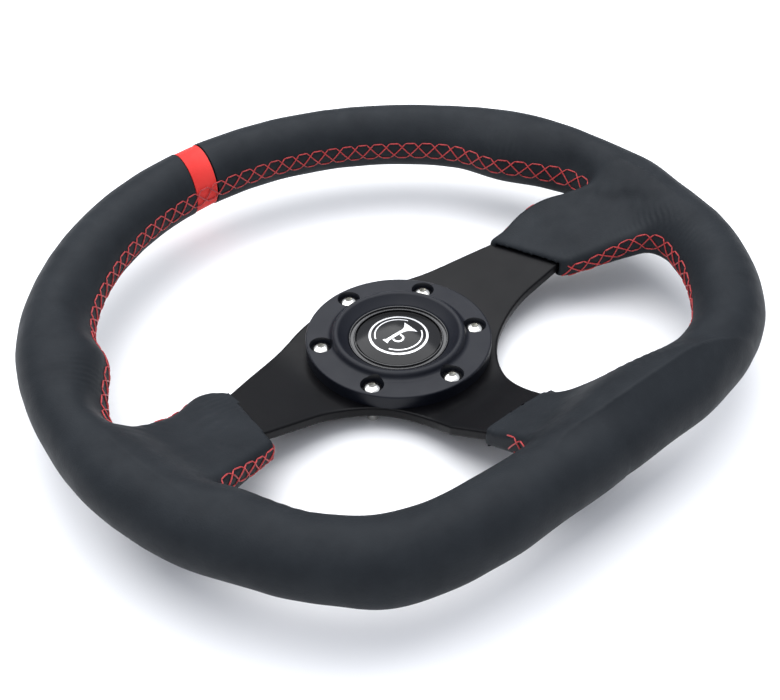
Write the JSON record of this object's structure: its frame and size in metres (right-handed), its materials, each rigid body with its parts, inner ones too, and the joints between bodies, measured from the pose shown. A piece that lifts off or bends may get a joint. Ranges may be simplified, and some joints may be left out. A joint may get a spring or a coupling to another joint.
{
  "type": "flat-bottomed steering wheel",
  "caption": "Flat-bottomed sport steering wheel with three dished spokes, a leather grip with a red band, a bolted horn ring and a sprung horn button.",
  "frame": {"origin": "centre of the six-bolt circle on the back face of the spoke plate", "axes": "+Z along the steering axis towards the driver, +Y towards twelve o'clock, opposite the flat of the rim, +X towards three o'clock"},
  "size_m": [0.3226, 0.2926, 0.0508],
  "materials": {
    "black_anodised_plate": "satin black anodised",
    "foam_core": "moulded foam",
    "red_leather": "smooth red leather",
    "black_leather": "fine-grained charcoal leather",
    "blue_black_ring": "satin blue-black anodised",
    "bright_steel": "bright plated",
    "black_plastic": "moulded",
    "seal_rubber": "moulded",
    "black_trim": "gloss",
    "contact_brass": "bare",
    "spring_steel": "drawn wire",
    "gloss_cap": "polished",
    "emblem_gloss": "polished",
    "emblem_silver": "bright silver inlay"
  },
  "bodies": {
    "wheel": {"spoke_frame": "black_anodised_plate", "rim_core": "foam_core", "centre_band": "red_leather", "leather_upper_left": "black_leather", "leather_upper_right": "black_leather", "leather_side_left": "black_leather", "leather_side_right": "black_leather", "leather_lower": "black_leather", "horn_ring": "blue_black_ring", "hub_screws": "bright_steel", "horn_cup": "black_plastic", "cup_o_ring": "seal_rubber", "horn_bezel": "black_trim", "insulator_ring": "black_plastic", "fixed_contact": "contact_brass", "spring_seat": "spring_steel", "return_spring": "spring_steel", "signal_terminal": "contact_brass", "ground_terminal": "contact_brass", "terminal_rivets": "contact_brass"},
    "horn_button": {"horn_cap": "gloss_cap", "moving_contact": "contact_brass", "emblem_disc": "emblem_gloss", "emblem_ring": "emblem_silver"}
  },
  "joints": [
    {"name": "horn_press", "type": "slide", "parent": "wheel", "child": "horn_button", "axis": [0, 0, -1], "range_m": [0, 0.0018], "stiffness_N_per_m": 3000, "springref_m": -0.002, "deforming": ["return_spring"]}
  ]
}
